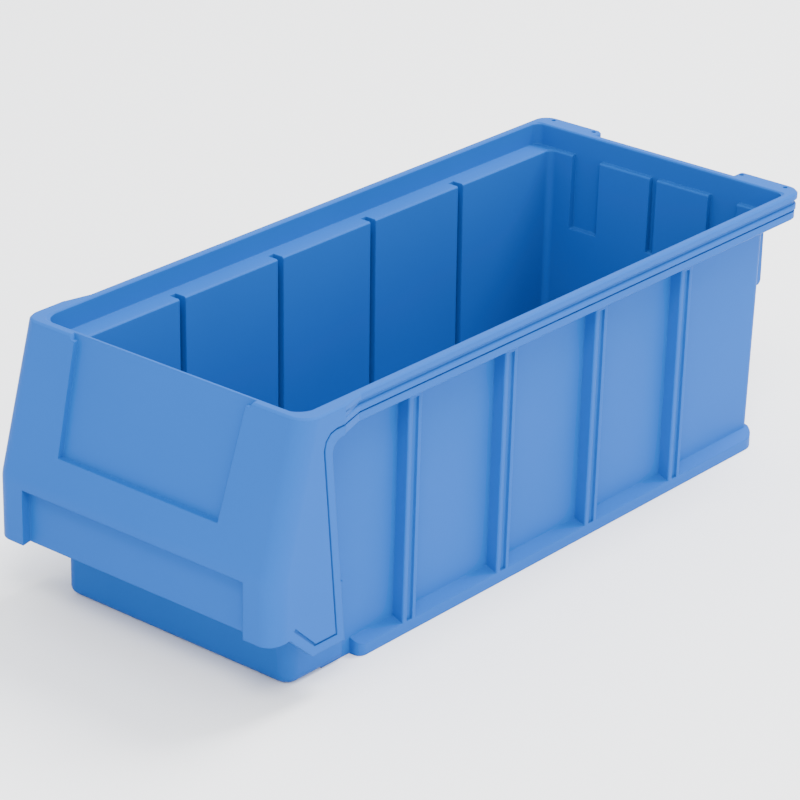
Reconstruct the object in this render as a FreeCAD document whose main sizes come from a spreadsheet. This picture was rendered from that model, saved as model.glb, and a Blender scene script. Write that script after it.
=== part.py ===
import FreeCAD, Part
import os
import Sketcher

# Moulded shelf bin: one plastic piece, open at the top, 400 mm deep.
# The bin stands on z = 0 and is centred on x = 0 and y = 0. The front lip
# faces -y, the back wall with its two corner tabs faces +y.
# Sizes that start with "at_" are distances from the front plane of the lip.

SIZES = [
    ("length", 400.0, "front lip to back tabs"),
    ("height", 137.0, "floor to top of the rim"),
    ("wall", 2.6, "general wall thickness"),
    ("reach", 12.0, "how far the cutting shapes run past the walls"),
    # tub
    ("tub_half_low", 68.2, "half width of the tub at the floor, outside"),
    ("tub_half_high", 69.4, "half width of the tub under the rim, outside"),
    ("at_tub_front_low", 30.2, "tub front wall at the floor, outside"),
    ("at_tub_front_high", 28.4, "tub front wall under the rim, outside"),
    ("tub_gap_low", 14.5, "from the tab ends to the tub back at the floor"),
    ("tub_gap_high", 12.1, "from the tab ends to the tub back under the rim"),
    ("tub_front_round", 8.0, "front upright corners of the tub, outside"),
    ("tub_back_round", 6.0, "back upright corners of the tub, outside"),
    ("cavity_front_round", 5.4, "front upright corners inside"),
    ("cavity_back_round", 3.4, "back upright corners inside"),
    ("cavity_floor_round", 3.0, "edge between floor and walls inside"),
    # thicker foot of the tub under the front skirt
    ("foot_half", 69.8, "half width of the foot"),
    ("at_foot_front", 27.6, "front of the foot"),
    ("foot_round", 4.0, "lower edge of the foot"),
    ("foot_corner", 7.0, "front upright corners of the foot"),
    ("at_foot_back", 64.0, "back end of the foot"),
    ("foot_height", 40.0, "height of the foot"),
    # ledge and rim
    ("ledge_drop", 11.5, "from the rim top down to the ledge"),
    ("rim_drop", 14.4, "from the rim top down to the band edge"),
    ("opening_half", 78.3, "half width inside the rim"),
    ("opening_draft", 0.2, "opening of each rim wall towards the top"),
    ("opening_gap", 11.7, "from the tab ends to the rim wall inside"),
    ("opening_front_round", 10.0, "front corners inside the rim"),
    ("opening_back_round", 4.5, "back corners inside the rim"),
    ("rim_half", 82.5, "half width of the rim over its top bead"),
    ("rim_gap", 6.9, "from the tab ends to the rim between them"),
    ("at_flare_front", 46.0, "where the rim starts to narrow"),
    ("overlap", 1.0, "how far the rim plates run into the skirt"),
    ("at_flare_back", 60.0, "where the rim has its full narrowness"),
    ("edge_break", 0.7, "small slope on the inner rim and ledge edges"),
    ("rim_corner", 8.5, "outer back corners of the rim"),
    ("band_inset", 1.0, "plain lower band behind the top bead"),
    ("groove_inset", 2.0, "thin groove behind the top bead"),
    ("face_inset", 0.5, "middle face behind the top bead"),
    ("notch_inset", 1.6, "notch behind the top bead"),
    ("groove_low_drop", 10.0, "rim top to the lower side of the groove"),
    ("groove_high_drop", 9.0, "rim top to the upper side of the groove"),
    ("notch_low_drop", 6.0, "rim top to the lower side of the notch"),
    ("notch_high_drop", 4.0, "rim top to the upper side of the notch"),
    ("bead_slope", 1.0, "slope on the outer top edge"),
    ("face_slope", 0.6, "slope on the edges of the beads"),
    # corner tabs
    ("tab_inner_end", 44.0, "inner end of a tab from the middle"),
    ("tab_end_round", 2.4, "round of the inner end of a tab"),
    # ribs that carry the divider slots
    ("rib_first", 100.7, "front face of the first rib"),
    ("rib_margin", 126.0, "length of the bin that the rib pitches leave"),
    ("rib_count", 4, "ribs on each side"),
    ("rib_width", 9.25, "width of a rib"),
    ("rib_half_low", 74.8, "outer face of a rib at the flange"),
    ("rib_half_high", 76.0, "outer face of a rib under the rim"),
    ("rib_round", 0.8, "outer upright edges of a rib"),
    ("slot_width", 4.0, "width of a divider slot"),
    ("slot_floor", 7.0, "lower end of a divider slot"),
    ("flute_depth", 1.3, "depth of the groove outside on a rib"),
    ("flute_low", 5.9, "lower end of the groove on a rib"),
    ("flute_drop", 19.0, "rim top to the upper end of that groove"),
    # flange at the floor
    ("flange_half", 74.8, "half width of the flange"),
    ("flange_low", 5.7, "height of the flange at its outer edge"),
    ("flange_high", 8.1, "height of the flange at the tub"),
    ("at_flange_front", 71.0, "front end of the flange"),
    ("flange_front_round", 4.0, "front corners of the flange"),
    ("flange_back_round", 12.0, "back corners of the flange"),
    # back wall recesses
    ("recess_inner", 34.6, "inner side of a back recess from the middle"),
    ("recess_outer", 52.2, "outer side of a back recess from the middle"),
    ("recess_drop", 52.0, "rim top to the lower end of the recesses"),
    ("centre_slot_half", 2.15, "half width of the middle slot"),
    # gussets under the tabs
    ("gusset_inner", 63.0, "inner side of a gusset from the middle"),
    ("gusset_outer", 65.5, "outer side of a gusset from the middle"),
    ("gusset_gap", 8.5, "from the tab ends to a gusset"),
    ("gusset_drop", 53.0, "rim top to the lower end of a gusset"),
    ("gusset_round", 3.0, "lower back corner of a gusset"),
    # front skirt with the lip
    ("skirt_half", 86.0, "half width of the skirt"),
    ("bend_height", 66.5, "where the slanted face meets the lip"),
    ("face_setback", 19.9, "top of the slanted face behind the lip"),
    ("front_wall", 5.1, "slanted front wall, measured level"),
    ("lip_inner", 7.1, "inside of the lip behind its front"),
    ("lip_bottom", 34.6, "lower edge of the lip"),
    ("skirt_bottom", 22.7, "lower edge of the skirt side"),
    ("at_notch_front", 10.5, "front end of the slanted lower edge"),
    ("notch_top", 36.4, "height of the front end of that edge"),
    ("at_notch_back", 25.7, "back end of the slanted lower edge"),
    ("at_skirt_low", 47.0, "back edge of the skirt side, low"),
    ("at_skirt_high", 36.8, "back edge of the skirt side, under the rim"),
    ("skirt_corner", 9.0, "front corners of the skirt, outside"),
    ("skirt_back_round", 6.5, "turn from the skirt edge to the rim band"),
    ("bend_round", 14.0, "soft bend between slanted face and lip"),
    # grip recess in the lip
    ("grip_margin", 18.0, "from the skirt side to the grip recess"),
    ("grip_top", 62.6, "upper edge of the grip recess"),
    ("grip_depth", 4.5, "depth of the grip recess"),
    # label recess in the slanted face
    ("label_half_low", 48.8, "half width of the label recess, low"),
    ("label_half_high", 52.7, "half width of the label recess, at the top"),
    ("label_bottom", 83.1, "lower edge of the label recess"),
    ("label_depth", 3.0, "depth of the label recess"),
    ("label_foot_width", 2.6, "wider part at the top of the recess"),
    ("label_foot_drop", 2.4, "height of that wider part"),
    # border groove on the skirt side
    ("border", 5.0, "from the skirt edge to the border groove"),
    ("border_groove", 1.0, "width of the border groove"),
    ("border_depth", 1.0, "depth of the border groove"),
    ("border_turn", 8.0, "radius of its turn into the rim groove"),
    ("border_slant_y", 3.3, "shift of its slanted leg to the back"),
    ("border_slant_z", 3.8, "shift of its slanted leg upwards"),
    # dimples on the tabs
    ("dimple_outer", 73.5, "outer dimple from the middle"),
    ("dimple_inner", 47.0, "inner dimple from the middle"),
    ("dimple_gap", 4.0, "from the tab ends to the dimples"),
    ("dimple_radius", 1.2, "radius of a dimple"),
    ("dimple_depth", 0.8, "depth of a dimple"),
]

doc = FreeCAD.newDocument("ShelfBin")
sheet = doc.addObject("Spreadsheet::Sheet", "Size")
for row, (alias, value, note) in enumerate(SIZES, start=1):
    sheet.set("A%d" % row, alias)
    sheet.set("B%d" % row, str(value))
    sheet.set("C%d" % row, note)
    sheet.setAlias("B%d" % row, alias)
doc.recompute()


def at(distance):
    """Distance behind the front plane of the lip as a y coordinate."""
    return "-Size.length / 2 + (%s)" % distance


def face(height):
    """How far the slanted face lies behind the lip at a height."""
    return ("((%s) - Size.bend_height) * Size.face_setback"
            " / (Size.height - Size.bend_height)" % height)


def new_body(name):
    body = doc.addObject("PartDesign::Body", name)
    body.Label = name
    return body


def plane(body, role):
    for feature in body.Origin.OriginFeatures:
        if feature.Role == role:
            return feature
    raise ValueError(role)


def polygon(body, name, role, offset, loops):
    """Closed outlines whose corners are bound to the sheet.

    On XY_Plane a corner is (x, y), on XZ_Plane (x, z), on YZ_Plane (y, z).
    """
    sketch = body.newObject("Sketcher::SketchObject", name)
    sketch.AttachmentSupport = [(plane(body, role), "")]
    sketch.MapMode = "FlatFace"
    if offset:
        sketch.setExpression("AttachmentOffset.Base.z", offset)
    bound = []
    for number, corners in enumerate(loops):
        count = len(corners)
        first = sketch.GeometryCount
        start = [
            FreeCAD.Vector(10 + 30 * number + index, 10 + 3 * index * index, 0)
            for index in range(count)
        ]
        for index in range(count):
            following = (index + 1) % count
            sketch.addGeometry(
                Part.LineSegment(start[index], start[following]), False)
        for index in range(count):
            following = (index + 1) % count
            sketch.addConstraint(Sketcher.Constraint(
                "Coincident", first + index, 2, first + following, 1))
        for index, (along, across) in enumerate(corners):
            spot = start[index]
            key = sketch.addConstraint(Sketcher.Constraint(
                "DistanceX", -1, 1, first + index, 1, spot.x))
            bound.append((key, along))
            key = sketch.addConstraint(Sketcher.Constraint(
                "DistanceY", -1, 1, first + index, 1, spot.y))
            bound.append((key, across))
    for key, expression in bound:
        sketch.setExpression("Constraints[%d]" % key, expression)
    return sketch


def box_corners(half, front, back):
    return [
        ("-(%s)" % half, front),
        (half, front),
        (half, back),
        ("-(%s)" % half, back),
    ]


def pad(body, name, sketch, length, backwards=False):
    feature = body.newObject("PartDesign::Pad", name)
    feature.Profile = sketch
    feature.setExpression("Length", length)
    feature.Reversed = backwards
    return feature


def tapered(body, name, sections):
    """Block between two level rectangles, from low to high.

    The block is laid out with its height along y and is then stood up.
    """
    feature = body.newObject("PartDesign::AdditiveWedge", name)
    feature.Placement = FreeCAD.Placement(
        FreeCAD.Vector(0, 0, 0),
        FreeCAD.Rotation(FreeCAD.Vector(1, 0, 0), 90))
    for (height, half, front, back), keys in zip(sections, (
            ("Ymin", "Xmin", "Xmax", "Zmin", "Zmax"),
            ("Ymax", "X2min", "X2max", "Z2min", "Z2max"))):
        feature.setExpression(keys[0], height)
        feature.setExpression(keys[1], "-(%s)" % half)
        feature.setExpression(keys[2], half)
        feature.setExpression(keys[3], "-(%s)" % back)
        feature.setExpression(keys[4], "-(%s)" % front)
    return feature


def round_edges(body, name, radius, test, flat=False):
    """Fillet or flat slope on the edges for which the test holds."""
    doc.recompute()
    base = body.Tip
    edges = [
        "Edge%d" % (index + 1)
        for index, edge in enumerate(base.Shape.Edges)
        if test(edge.BoundBox)
    ]
    if not edges:
        raise ValueError("no edges for " + name)
    kind = "Chamfer" if flat else "Fillet"
    feature = body.newObject("PartDesign::" + kind, name)
    feature.Base = (base, edges)
    feature.setExpression("Size" if flat else "Radius", radius)
    doc.recompute()
    return feature


def upright(box):
    return box.ZLength > 5 * max(box.XLength, box.YLength, 0.01)


def level(box, height):
    return abs(box.ZMin - height) < 0.01 and abs(box.ZMax - height) < 0.01


def value(alias):
    return float(sheet.get(alias))


ZERO = "0 * Size.wall"
RIM_BOTTOM = "(Size.height - Size.rim_drop)"
RIM_BACK = "(Size.length - Size.rim_gap)"
GROOVE_LOW = "(Size.height - Size.groove_low_drop)"
GROOVE_HIGH = "(Size.height - Size.groove_high_drop)"
NOTCH_LOW = "(Size.height - Size.notch_low_drop)"
NOTCH_HIGH = "(Size.height - Size.notch_high_drop)"
PITCH = "(Size.length - Size.rib_margin) / Size.rib_count"
UNDERSIDE = "Size.height - Size.ledge_drop - Size.wall"

# Tub: drafted block of the outside, later hollowed.
tub = new_body("Tub")
tapered(tub, "TubBlock", [
    ("Size.foot_round", "Size.tub_half_low", at("Size.at_tub_front_low"),
     at("Size.length - Size.tub_gap_low")),
    ("Size.height - Size.ledge_drop", "Size.tub_half_high", at("Size.at_tub_front_high"),
     at("Size.length - Size.tub_gap_high")),
])
round_edges(tub, "TubFrontCorners", "Size.tub_front_round",
            lambda box: upright(box) and box.YMax < 0)
round_edges(tub, "TubBackCorners", "Size.tub_back_round",
            lambda box: upright(box) and box.YMin > 0)
# Foot: slightly wider lower front end of the tub.
foot = new_body("Foot")
pad(foot, "FootBlock",
    polygon(foot, "FootOutline", "XY_Plane", "", [box_corners(
        "Size.foot_half", at("Size.at_foot_front"),
        at("Size.at_foot_back"))]),
    "Size.foot_height")
round_edges(foot, "FootCorners", "Size.foot_corner",
            lambda box: upright(box)
            and box.YMax < value("at_foot_front") + 1 - value("length") / 2)
round_edges(foot, "FootEdge", "Size.foot_round",
            lambda box: level(box, 0)
            and box.YMin < value("at_foot_back") - 0.1 - value("length") / 2)
sole = new_body("Sole")
pad(sole, "SoleBlock",
    polygon(sole, "SoleOutline", "XY_Plane", "", [box_corners(
        "Size.tub_half_low", at("Size.at_foot_back - Size.reach"),
        at("Size.at_flange_front + Size.reach"))]),
    "2 * Size.foot_round")

# Flange along both sides at the floor, flush with the back wall.
flange = new_body("Flange")
pad(flange, "FlangeBar",
    polygon(flange, "FlangeSection", "XZ_Plane",
            "Size.length / 2 - Size.at_flange_front", [[
                ("-Size.flange_half", ZERO),
                ("Size.flange_half", ZERO),
                ("Size.flange_half", "Size.flange_low"),
                ("Size.tub_half_low", "Size.flange_high"),
                ("-Size.tub_half_low", "Size.flange_high"),
                ("-Size.flange_half", "Size.flange_low"),
            ]]),
    "Size.length - Size.tub_gap_low - Size.at_flange_front", backwards=True)
round_edges(flange, "FlangeFrontCorners", "Size.flange_front_round",
            lambda box: upright(box) and box.YMax < 0)
round_edges(flange, "FlangeBackCorners", "Size.flange_back_round",
            lambda box: upright(box) and box.YMin > 0)



def join(name, members):
    """One shape from several bodies."""
    result = doc.addObject("Part::MultiFuse", name)
    result.Label = name
    result.Shapes = members
    result.Refine = True
    return result


def bars(name, outline, start, width):
    """Level bars across the bin, a pair at each rib."""
    made = []
    for index in range(int(value("rib_count"))):
        offset = "Size.length / 2 - (%s) - %d * (%s)" % (start, index, PITCH)
        for side, sign in (("Right", ""), ("Left", "-")):
            bar_name = "%s%s%d" % (name, side, index + 1)
            bar = new_body(bar_name)
            loop = [("%s(%s)" % (sign, x), z) for x, z in outline]
            pad(bar, bar_name + "Pad",
                polygon(bar, bar_name + "Outline", "XZ_Plane", offset, [loop]),
                width, backwards=True)
            made.append(bar)
    return made


def block(name, low, high, half_low, half_high, front, back):
    """Box between two heights and from one x to another."""
    body = new_body(name)
    pad(body, name + "Pad",
        polygon(body, name + "Outline", "XY_Plane", low, [[
            (half_low, front), (half_high, front),
            (half_high, back), (half_low, back)]]),
        "(%s) - (%s)" % (high, low))
    return body


def pair(name, low, high, inner, outer, front, back):
    """The same box on the right and on the left."""
    return [
        block(name + "Right", low, high, inner, outer, front, back),
        block(name + "Left", low, high, "-(%s)" % outer, "-(%s)" % inner,
              front, back),
    ]


# Ribs: upright box ribs outside, one pair for each divider slot.
ribs = bars("Rib", [
    ("Size.tub_half_low - Size.wall", "Size.wall"),
    ("Size.rib_half_low", "Size.wall"),
    ("Size.rib_half_high", UNDERSIDE),
    ("Size.tub_half_low - Size.wall", UNDERSIDE),
], "Size.rib_first", "Size.rib_width")
for rib in ribs:
    round_edges(rib, rib.Label + "Edges", "Size.rib_round",
                lambda box: upright(box)
                and max(abs(box.XMin), abs(box.XMax))
                > value("rib_half_low") - value("wall"))

# Rim: plates with different outlines that form the beads and grooves. In
# front they widen to the skirt, where only the thin groove goes on.
LEVELS = [
    ("Band", RIM_BOTTOM, GROOVE_LOW, "Size.band_inset", ZERO),
    ("Groove", GROOVE_LOW, GROOVE_HIGH, "Size.groove_inset",
     "Size.border_depth"),
    ("Face", GROOVE_HIGH, NOTCH_LOW, "Size.face_inset", ZERO),
    ("Notch", NOTCH_LOW, NOTCH_HIGH, "Size.notch_inset", ZERO),
    ("Bead", NOTCH_HIGH, "Size.height", ZERO, ZERO),
]


def rim_slopes(plate, name, size, height):
    """Slope on the outer edges of a rim plate at one height."""
    start = value("at_flare_front") + 0.1 - value("length") / 2
    round_edges(plate, name, size,
                lambda box: level(box, height) and box.YMax > start,
                flat=True)


rim = []
for name, low, high, inset, front_inset in LEVELS:
    plate = new_body("Rim" + name)
    half = "Size.rim_half - (%s)" % inset
    front_half = "Size.skirt_half - (%s)" % front_inset
    middle = at("%s - (%s)" % (RIM_BACK, inset))
    rear = at("Size.length - (%s)" % inset)
    inner_end = "Size.tab_inner_end + (%s)" % inset
    pad(plate, "Rim%sPlate" % name,
        polygon(plate, "Rim%sOutline" % name, "XY_Plane", low, [[
            ("-(%s)" % front_half, at("Size.at_flare_front - Size.overlap")),
            (front_half, at("Size.at_flare_front - Size.overlap")),
            (half, at("Size.at_flare_back")),
            (half, rear), (inner_end, rear), (inner_end, middle),
            ("-(%s)" % inner_end, middle), ("-(%s)" % inner_end, rear),
            ("-(%s)" % half, rear),
            ("-(%s)" % half, at("Size.at_flare_back"))]]),
        "(%s) - (%s)" % (high, low))
    beyond = value("length") / 2 - value("rim_gap") + 0.5
    inside = value("tab_inner_end") + value("rim_corner")
    round_edges(plate, "Rim%sCorners" % name,
                "Size.rim_corner - (%s)" % inset,
                lambda box: upright(box) and box.YMax > beyond - 2
                and abs(box.XMin) > inside)
    round_edges(plate, "Rim%sTabEnds" % name, "Size.tab_end_round",
                lambda box: upright(box) and abs(box.XMin) < inside
                and box.YMin > beyond)
    rim.append(plate)
rim_slopes(rim[0], "BandLowerEdge", "Size.face_slope",
           value("height") - value("rim_drop"))
rim_slopes(rim[2], "FaceUpperEdge", "Size.face_slope",
           value("height") - value("notch_low_drop"))
rim_slopes(rim[4], "BeadLowerEdge", "Size.face_slope",
           value("height") - value("notch_high_drop"))
rim_slopes(rim[4], "BeadUpperEdge", "Size.bead_slope", value("height"))

# Skirt: hollow nose in front of the tub with the lip, open below.
skirt = new_body("Skirt")
SKIRT_SIDE = [
    (at("Size.face_setback"), "Size.height"),
    (at(ZERO), "Size.bend_height"),
    (at(ZERO), "Size.lip_bottom"),
    (at("Size.at_notch_front"), "Size.notch_top"),
    (at("Size.at_notch_back"), "Size.skirt_bottom"),
    (at("Size.at_skirt_low"), "Size.skirt_bottom"),
    (at("Size.at_skirt_high"), RIM_BOTTOM),
    (at("Size.at_flare_front"), RIM_BOTTOM),
    (at("Size.at_flare_front"), "Size.height"),
]
pad(skirt, "SkirtBlock",
    polygon(skirt, "SkirtSide", "YZ_Plane", "-Size.skirt_half", [SKIRT_SIDE]),
    "2 * Size.skirt_half")


def across(box):
    return box.XLength > value("skirt_half")


def behind(distance):
    return distance - value("length") / 2


round_edges(skirt, "SkirtBend", "Size.bend_round",
            lambda box: across(box) and level(box, value("bend_height")))
round_edges(skirt, "SkirtTurn", "Size.skirt_back_round",
            lambda box: across(box)
            and level(box, value("height") - value("rim_drop"))
            and box.YMax < behind(value("at_skirt_high")) + 0.1)
round_edges(skirt, "SkirtCorners", "Size.skirt_corner",
            lambda box: box.XLength < 0.01
            and box.YMax < behind(value("face_setback")) + 0.1
            and box.ZLength > value("skirt_corner") / 2)
round_edges(skirt, "SkirtTopEdge", "Size.bead_slope",
            lambda box: level(box, value("height"))
            and box.YMin < behind(value("at_flare_front")) - 0.1,
            flat=True)

hollow = new_body("SkirtHollow")
pad(hollow, "HollowBlock",
    polygon(hollow, "HollowSide", "YZ_Plane", "Size.wall - Size.skirt_half", [[
        (at("Size.lip_inner"), "-Size.reach"),
        (at("Size.at_skirt_low - Size.wall"), "-Size.reach"),
        (at("Size.at_skirt_low - Size.wall"), "Size.skirt_bottom"),
        (at("Size.at_skirt_high - Size.wall"), UNDERSIDE),
        (at(face(UNDERSIDE) + " + Size.front_wall"), UNDERSIDE),
        (at("Size.lip_inner"), "Size.bend_height + (Size.lip_inner"
         " - Size.front_wall) * (Size.height - Size.bend_height)"
         " / Size.face_setback"),
    ]]),
    "2 * (Size.skirt_half - Size.wall)")
round_edges(hollow, "HollowCorners", "Size.skirt_corner - Size.wall",
            lambda box: box.XLength < 0.01
            and box.YMax < behind(value("face_setback") + value("front_wall"))
            and box.ZLength > value("skirt_corner") / 2)
GRIP_HALF = "(Size.skirt_half - Size.grip_margin)"
pockets = pair("LipPocket", "-Size.reach", "Size.grip_top - Size.wall",
               GRIP_HALF + " + Size.wall", "Size.skirt_half - Size.wall",
               at("Size.wall"), at("Size.wall + Size.skirt_corner"))
for pocket in pockets:
    round_edges(pocket, pocket.Label + "Corner",
                "Size.skirt_corner - Size.wall",
                lambda box: upright(box)
                and abs(box.XMin) > value("skirt_half") - 2 * value("wall")
                and box.YMax < behind(value("wall")) + 0.1)
# Hollow of the wide front ends of the rim, above the skirt hollow.
pockets += pair("RimPocket", "Size.height - Size.rim_drop - Size.wall",
                "Size.height - Size.wall",
                "Size.opening_half + Size.opening_draft + Size.wall",
                "Size.skirt_half - Size.wall",
                at("Size.face_setback + Size.front_wall + Size.wall"),
                at("Size.at_skirt_high - Size.wall"))

# Thin groove that follows the edge of the skirt side at a distance.


def skirt_back(height):
    """Back edge of the skirt side at a height."""
    return ("Size.at_skirt_low + (Size.at_skirt_high - Size.at_skirt_low)"
            " * ((%s) - Size.skirt_bottom)"
            " / (%s - Size.skirt_bottom)" % (height, RIM_BOTTOM))


def groove_side(shift):
    """One side of the groove, from the lip round to the rim groove."""
    turn = "(Size.border_turn - (%s))" % shift
    away = "Size.border - (%s)" % shift
    low = "Size.skirt_bottom + " + away
    centre_y = skirt_back(TURN_HEIGHT) + " - Size.border + Size.border_turn"
    points = [
        ("Size.at_notch_front + Size.border_slant_y - (%s)" % shift,
         "Size.notch_top + Size.border_slant_z - (%s)" % shift),
        ("Size.at_notch_back + Size.border_slant_y"
         " - Size.border_slant_z * Size.border / 12 - (%s) / 2" % shift, low),
        (skirt_back(low) + " - (%s)" % away, low),
        (centre_y + " - " + turn, TURN_HEIGHT),
        (centre_y + " - 0.866 * " + turn, TURN_HEIGHT + " + 0.5 * " + turn),
        (centre_y + " - 0.5 * " + turn, TURN_HEIGHT + " + 0.866 * " + turn),
        (centre_y, TURN_HEIGHT + " + " + turn),
        ("Size.at_flare_front", TURN_HEIGHT + " + " + turn),
    ]
    return [(at(along), height) for along, height in points]


TURN_HEIGHT = "(%s) / 2 + (%s) / 2 - Size.border_turn" % (
    GROOVE_LOW, GROOVE_HIGH)
border_loop = groove_side("Size.border_groove / 2")
border_loop += reversed(groove_side("-Size.border_groove / 2"))
borders = []
for side, start in (("Right", "Size.skirt_half - Size.border_depth"),
                    ("Left", "-Size.skirt_half - Size.reach")):
    border = new_body("BorderGroove" + side)
    length = "Size.reach"
    if side == "Left":
        length = "Size.reach + Size.border_depth"
    pad(border, "BorderGroove%sPad" % side,
        polygon(border, "BorderGroove%sOutline" % side, "YZ_Plane", start,
                [border_loop]), length)
    borders.append(border)

# Grip recess in the lip, open below.
grip = new_body("GripRecess")
pad(grip, "GripBlock",
    polygon(grip, "GripOutline", "XY_Plane", "-Size.reach", [box_corners(
        GRIP_HALF, at("-Size.reach"), at("Size.grip_depth"))]),
    "Size.grip_top + Size.reach")

# Label recess in the slanted face, open at the top.
LABEL_TOP = "Size.height + Size.reach"
label = new_body("LabelRecess")
tapered(label, "LabelBlock", [
    ("Size.label_bottom", "Size.label_half_low",
     at(face("Size.label_bottom") + " - Size.reach"),
     at(face("Size.label_bottom") + " + Size.label_depth")),
    (LABEL_TOP, "Size.label_half_high",
     at(face(LABEL_TOP) + " - Size.reach"),
     at(face(LABEL_TOP) + " + Size.label_depth")),
])

FOOT_LEVEL = "Size.height - Size.label_foot_drop"
label_feet = new_body("LabelFeet")
tapered(label_feet, "LabelFeetBlock", [
    (FOOT_LEVEL, "Size.label_half_high + Size.label_foot_width / 2",
     at(face(FOOT_LEVEL) + " - Size.reach"),
     at(face(FOOT_LEVEL) + " + Size.label_depth")),
    ("Size.height", "Size.label_half_high + Size.label_foot_width",
     at(face("Size.height") + " - Size.reach"),
     at(face("Size.height") + " + Size.label_depth")),
])

# Opening above the ledge and cavity of the tub below it.
opening = new_body("RimOpening")
OPEN_TOP = "Size.height + Size.reach"
tapered(opening, "OpeningBlock", [
    ("Size.height - Size.ledge_drop", "Size.opening_half",
     at(face("Size.height - Size.ledge_drop") + " + Size.front_wall"),
     at("Size.length - Size.opening_gap")),
    (OPEN_TOP, "Size.opening_half + 2 * Size.opening_draft",
     at(face(OPEN_TOP) + " + Size.front_wall"),
     at("Size.length - Size.opening_gap + 2 * Size.opening_draft")),
])
round_edges(opening, "OpeningFrontCorners", "Size.opening_front_round",
            lambda box: box.ZLength > value("ledge_drop") and box.YMax < 0)
round_edges(opening, "OpeningBackCorners", "Size.opening_back_round",
            lambda box: box.ZLength > value("ledge_drop") and box.YMin > 0)


def sloped_edge(name, height, half, front, back, front_round, back_round):
    """Cut that slopes an inner edge all round, with rounded corners."""
    body = new_body(name)
    low = "(%s) - Size.edge_break" % height
    high = "(%s) + Size.edge_break" % height
    tapered(body, name + "Block", [
        (low, half, at(front), at(back)),
        (high, "(%s) + 2 * Size.edge_break" % half,
         at("(%s) - 2 * Size.edge_break" % front),
         at("(%s) + 2 * Size.edge_break" % back)),
    ])
    round_edges(body, name + "FrontCorners", front_round,
                lambda box: box.ZLength > value("edge_break")
                and box.YMax < 0)
    round_edges(body, name + "BackCorners", back_round,
                lambda box: box.ZLength > value("edge_break")
                and box.YMin > 0)
    return body


rim_edge = sloped_edge(
    "RimEdge", "Size.height", "Size.opening_half + Size.opening_draft",
    face("Size.height") + " + Size.front_wall",
    "Size.length - Size.opening_gap + Size.opening_draft",
    "Size.opening_front_round", "Size.opening_back_round")
ledge_edge = sloped_edge(
    "LedgeEdge", "Size.height - Size.ledge_drop",
    "Size.tub_half_high - Size.wall", "Size.at_tub_front_high + Size.wall",
    "Size.length - Size.tub_gap_high - Size.wall",
    "Size.cavity_front_round", "Size.cavity_back_round")

cavity = new_body("TubCavity")
tapered(cavity, "CavityBlock", [
    ("Size.wall", "Size.tub_half_low - Size.wall",
     at("Size.at_tub_front_low + Size.wall"),
     at("Size.length - Size.tub_gap_low - Size.wall")),
    ("Size.height - Size.ledge_drop + 0.1 * Size.wall", "Size.tub_half_high - Size.wall",
     at("Size.at_tub_front_high + Size.wall"),
     at("Size.length - Size.tub_gap_high - Size.wall")),
])
round_edges(cavity, "CavityFrontCorners", "Size.cavity_front_round",
            lambda box: upright(box) and box.YMax < 0)
round_edges(cavity, "CavityBackCorners", "Size.cavity_back_round",
            lambda box: upright(box) and box.YMin > 0)
round_edges(cavity, "CavityFloor", "Size.cavity_floor_round",
            lambda box: level(box, value("wall")))

# Divider slots inside the ribs and the grooves outside on them.
SLOT_START = "Size.rib_first + (Size.rib_width - Size.slot_width) / 2"
slots = bars("Slot", [
    ("Size.tub_half_low - 2 * Size.wall", "Size.slot_floor"),
    ("Size.rib_half_low - Size.wall", "Size.slot_floor"),
    ("Size.rib_half_high - Size.wall", "Size.height - Size.ledge_drop + 0.1 * Size.wall"),
    ("Size.tub_half_low - 2 * Size.wall",
     "Size.height - Size.ledge_drop + 0.1 * Size.wall"),
], SLOT_START, "Size.slot_width")
flutes = bars("Flute", [
    ("Size.rib_half_low - Size.flute_depth", "Size.flute_low"),
    ("Size.rib_half_low + Size.reach", "Size.flute_low"),
    ("Size.rib_half_high + Size.reach", "Size.height - Size.flute_drop"),
    ("Size.rib_half_high - Size.flute_depth", "Size.height - Size.flute_drop"),
], SLOT_START, "Size.slot_width")

# Recesses inside the back wall and the bumps they make outside.
INSIDE = at("Size.length - Size.tub_gap_low - 3 * Size.wall")
recesses = pair("Recess", "Size.height - Size.recess_drop",
                "Size.height - Size.ledge_drop + 0.1 * Size.wall", "Size.recess_inner",
                "Size.recess_outer", INSIDE, at("Size.length - Size.opening_gap"))
recesses.append(block("RecessCentre", "Size.height - Size.recess_drop",
                      "Size.height - Size.ledge_drop + 0.1 * Size.wall",
                      "-Size.centre_slot_half", "Size.centre_slot_half",
                      INSIDE, at("Size.length - Size.opening_gap")))
BUMP_BACK = at("Size.length - Size.opening_gap + Size.wall")
bumps = pair("Bump", "Size.height - Size.recess_drop - Size.wall", UNDERSIDE,
             "Size.recess_inner - Size.wall", "Size.recess_outer + Size.wall",
             at("Size.length - Size.tub_gap_low - Size.wall"), BUMP_BACK)
bumps.append(block("BumpCentre", "Size.height - Size.recess_drop - Size.wall", UNDERSIDE,
                   "-Size.centre_slot_half - Size.wall",
                   "Size.centre_slot_half + Size.wall",
                   at("Size.length - Size.tub_gap_low - Size.wall"), BUMP_BACK))

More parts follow.
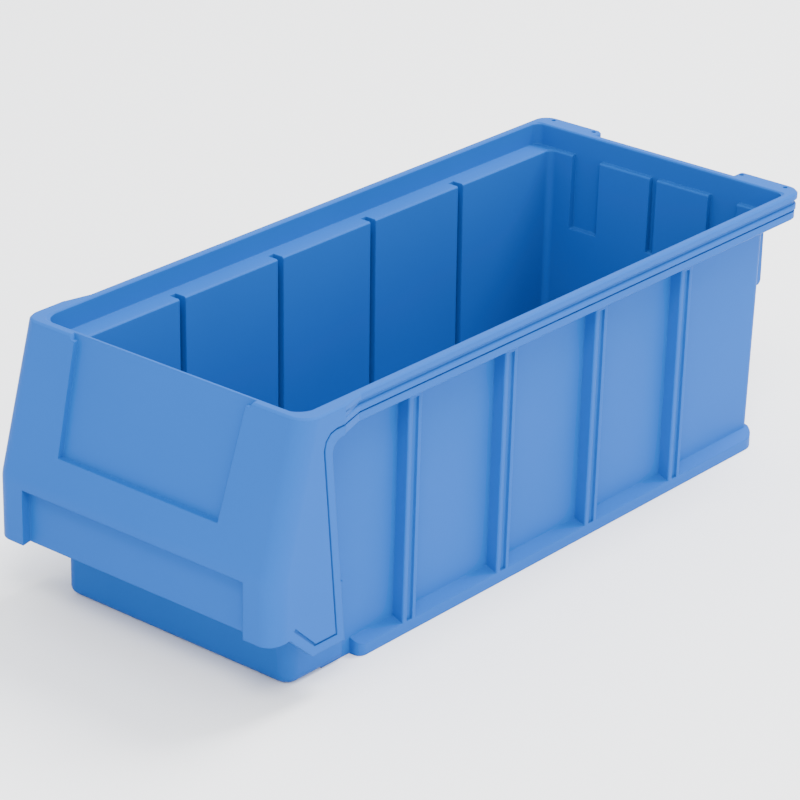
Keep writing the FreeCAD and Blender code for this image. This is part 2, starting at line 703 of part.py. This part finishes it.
# Gussets under the tabs and the hollows below the tab tops.
gussets = pair("Gusset", "Size.height - Size.gusset_drop", UNDERSIDE, "Size.gusset_inner",
               "Size.gusset_outer", at("Size.length - Size.tub_gap_low - Size.wall"),
               at("Size.length - Size.gusset_gap"))
for gusset in gussets:
    round_edges(gusset, gusset.Label + "Edge", "Size.gusset_round",
                lambda box: level(box, value("height")
                                  - value("gusset_drop"))
                and box.YMin > value("length") / 2 - value("gusset_gap")
                - 0.1)
tab_hollows = pair("TabHollow", "Size.height - Size.rim_drop - Size.reach",
                   "Size.height - Size.wall",
                   "Size.tab_inner_end + Size.groove_inset + Size.wall",
                   "Size.rim_half - Size.groove_inset - Size.wall",
                   at("Size.length - Size.opening_gap + 1.3 * Size.wall"),
                   at("Size.length - Size.groove_inset - Size.wall"))

# Dimples on top of the tabs.
dimples = []
for name, middle in (("DimpleOuter", "Size.dimple_outer"),
                     ("DimpleInner", "Size.dimple_inner")):
    for side, sign in (("Right", ""), ("Left", "-")):
        dimple = doc.addObject("Part::Cylinder", name + side)
        dimple.Label = name + side
        dimple.setExpression("Radius", "Size.dimple_radius")
        dimple.setExpression("Height", "Size.reach")
        dimple.setExpression("Placement.Base.x", sign + "(%s)" % middle)
        dimple.setExpression("Placement.Base.y", at("Size.length - Size.dimple_gap"))
        dimple.setExpression("Placement.Base.z",
                             "Size.height - Size.dimple_depth")
        dimples.append(dimple)

# The shell: skirt shell first, then the solid blocks, then all the cuts.
skirt_shell = doc.addObject("Part::Cut", "SkirtShell")
skirt_shell.Label = "SkirtShell"
skirt_shell.Base = skirt
skirt_shell.Tool = join("SkirtCuts", [hollow] + pockets + [grip])
rim_plates = join("RimPlates", rim)
rim_shell = doc.addObject("Part::Cut", "RimShell")
rim_shell.Label = "RimShell"
rim_shell.Base = rim_plates
rim_shell.Tool = join("RimCuts", tab_hollows + dimples)
solid = join("OuterShape", [skirt_shell, rim_shell, tub, foot, sole, flange]
             + ribs + bumps + gussets)
cuts = join("InnerCuts", [opening, cavity, label, label_feet, rim_edge,
                          ledge_edge] + borders + slots + flutes + recesses)
shell = doc.addObject("Part::Cut", "ShelfBinShell")
shell.Label = "shelf_bin"
shell.Base = solid
shell.Tool = cuts
shell.Refine = True

doc.recompute()
for item in doc.Objects:
    for problem in ("Invalid", "Error"):
        if problem in item.State:
            raise RuntimeError("%s is %s" % (item.Label, problem))
for item in [shell, solid, cuts]:
    if item.Shape.isNull() or not item.Shape.isValid():
        raise RuntimeError(item.Label + " has no valid shape")
if len(shell.Shape.Solids) != 1:
    raise RuntimeError("the bin is %d solids" % len(shell.Shape.Solids))

os.makedirs("parts", exist_ok=True)
shell.Shape.exportStep("parts/shelf_bin.step")
bounds = shell.Shape.BoundBox
print("bounds", bounds)
print("volume", shell.Shape.Volume)
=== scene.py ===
import bpy
from mathutils import Matrix, Vector

# Moulded plastic shelf bin on a plain pale floor. Lengths are in metres.

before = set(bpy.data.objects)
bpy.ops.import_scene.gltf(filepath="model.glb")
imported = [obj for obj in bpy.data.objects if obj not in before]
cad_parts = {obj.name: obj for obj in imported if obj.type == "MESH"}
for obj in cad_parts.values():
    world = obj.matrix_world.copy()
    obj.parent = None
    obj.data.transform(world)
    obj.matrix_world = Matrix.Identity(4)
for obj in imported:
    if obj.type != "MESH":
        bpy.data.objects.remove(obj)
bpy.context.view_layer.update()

PLASTIC = (0.0125, 0.092, 0.36)
PLASTIC_ROUGHNESS = 0.42
PLASTIC_SPECULAR = 0.03
# Slow drift of the colour between a darker and a lighter tone.
DRIFT_TONES = (0.97, 1.03)
DRIFT_PLACES = (0.3, 0.7)
DRIFT_SCALE = 9.0
DRIFT_DETAIL = 3.0
# Very fine grain of the surface.
GRAIN_SCALE = 900.0
GRAIN_DETAIL = 2.0
GRAIN_STRENGTH = 0.04
GRAIN_DEPTH = 0.0002
# Softness of the edges where they catch the light.
EDGE_RADIUS = 0.0008
EDGE_SAMPLES = 6

FLOOR_COLOUR = (0.97, 0.97, 0.97, 1.0)
FLOOR_ROUGHNESS = 0.9
FLOOR_HALF = 6.0
FLOOR_TOP = -0.0002

WORLD_COLOUR = (0.95, 0.97, 1.0, 1.0)
WORLD_STRENGTH = 1.9
LIGHT_TARGET = (0, 0, 0.05)
# Name, place, width in metres and power in watts of each soft light.
LIGHTS = (
    ("key", (2.6, -0.3, 0.8), 1.6, 26.0),
    ("fill", (1.0, -1.2, 2.0), 0.8, 40.0),
    ("back", (0.3, 1.3, 2.2), 1.0, 105.0),
)

CAMERA_PLACE = Vector((0.9606, -1.1719, 0.7386))
CAMERA_RIGHT = Vector((0.76300, 0.64614, 0.01827))
CAMERA_UP = Vector((-0.27665, 0.30088, 0.91264))
CAMERA_BACK = Vector((0.58420, -0.70140, 0.40833))
CAMERA_LENS = 154.54
CAMERA_SHIFT = (0.0069, 0.0031)
CAMERA_SENSOR = 36.0
CAMERA_CLIP = (0.05, 30.0)


def plastic_material():
    """Satin moulded plastic with a very fine surface grain."""
    material = bpy.data.materials.new("moulded_plastic")
    material.use_nodes = True
    nodes = material.node_tree.nodes
    links = material.node_tree.links
    shader = nodes["Principled BSDF"]
    shader.inputs["Roughness"].default_value = PLASTIC_ROUGHNESS
    shader.inputs["Specular IOR Level"].default_value = PLASTIC_SPECULAR
    place = nodes.new("ShaderNodeTexCoord")
    cloud = nodes.new("ShaderNodeTexNoise")
    cloud.inputs["Scale"].default_value = DRIFT_SCALE
    cloud.inputs["Detail"].default_value = DRIFT_DETAIL
    ramp = nodes.new("ShaderNodeValToRGB")
    for stop, position, tone in zip(ramp.color_ramp.elements, DRIFT_PLACES,
                                    DRIFT_TONES):
        stop.position = position
        stop.color = [tone * c for c in PLASTIC] + [1.0]
    links.new(place.outputs["Object"], cloud.inputs["Vector"])
    links.new(cloud.outputs["Fac"], ramp.inputs["Fac"])
    links.new(ramp.outputs["Color"], shader.inputs["Base Color"])
    grain = nodes.new("ShaderNodeTexNoise")
    grain.inputs["Scale"].default_value = GRAIN_SCALE
    grain.inputs["Detail"].default_value = GRAIN_DETAIL
    bump = nodes.new("ShaderNodeBump")
    bump.inputs["Strength"].default_value = GRAIN_STRENGTH
    bump.inputs["Distance"].default_value = GRAIN_DEPTH
    links.new(place.outputs["Object"], grain.inputs["Vector"])
    links.new(grain.outputs["Fac"], bump.inputs["Height"])
    edge = nodes.new("ShaderNodeBevel")
    edge.samples = EDGE_SAMPLES
    edge.inputs["Radius"].default_value = EDGE_RADIUS
    links.new(edge.outputs["Normal"], bump.inputs["Normal"])
    links.new(bump.outputs["Normal"], shader.inputs["Normal"])
    return material


def floor():
    """Large pale floor just under the bin."""
    mesh = bpy.data.meshes.new("floor")
    corners = [(x * FLOOR_HALF, y * FLOOR_HALF, FLOOR_TOP)
               for x, y in ((-1, -1), (1, -1), (1, 1), (-1, 1))]
    mesh.from_pydata(corners, [], [(0, 1, 2, 3)])
    plane = bpy.data.objects.new("floor", mesh)
    bpy.context.scene.collection.objects.link(plane)
    material = bpy.data.materials.new("floor")
    material.use_nodes = True
    shader = material.node_tree.nodes["Principled BSDF"]
    shader.inputs["Base Color"].default_value = FLOOR_COLOUR
    shader.inputs["Roughness"].default_value = FLOOR_ROUGHNESS
    mesh.materials.append(material)


def area_light(name, place, size, power):
    """Square soft light that points at the bin."""
    data = bpy.data.lights.new(name, "AREA")
    data.shape = "SQUARE"
    data.size = size
    data.energy = power
    light = bpy.data.objects.new(name, data)
    bpy.context.scene.collection.objects.link(light)
    light.location = place
    aim = Vector(LIGHT_TARGET) - Vector(place)
    light.rotation_euler = aim.to_track_quat("-Z", "Y").to_euler()


def studio():
    """Even pale surroundings and the soft lights."""
    world = bpy.data.worlds.new("studio")
    bpy.context.scene.world = world
    world.use_nodes = True
    background = world.node_tree.nodes["Background"]
    background.inputs["Color"].default_value = WORLD_COLOUR
    background.inputs["Strength"].default_value = WORLD_STRENGTH
    for name, place, size, power in LIGHTS:
        area_light(name, place, size, power)


def camera():
    """Camera at the angle of the photograph."""
    data = bpy.data.cameras.new("camera")
    data.lens = CAMERA_LENS
    data.sensor_width = CAMERA_SENSOR
    data.shift_x, data.shift_y = CAMERA_SHIFT
    data.clip_start, data.clip_end = CAMERA_CLIP
    eye = bpy.data.objects.new("camera", data)
    turn = Matrix((CAMERA_RIGHT, CAMERA_UP, CAMERA_BACK)).transposed()
    eye.matrix_world = Matrix.Translation(CAMERA_PLACE) @ turn.to_4x4()
    bpy.context.scene.collection.objects.link(eye)
    bpy.context.scene.camera = eye


bin_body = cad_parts["shelf_bin"]
plastic = plastic_material()
bin_body.data.materials.clear()
bin_body.data.materials.append(plastic)

floor()
studio()
camera()
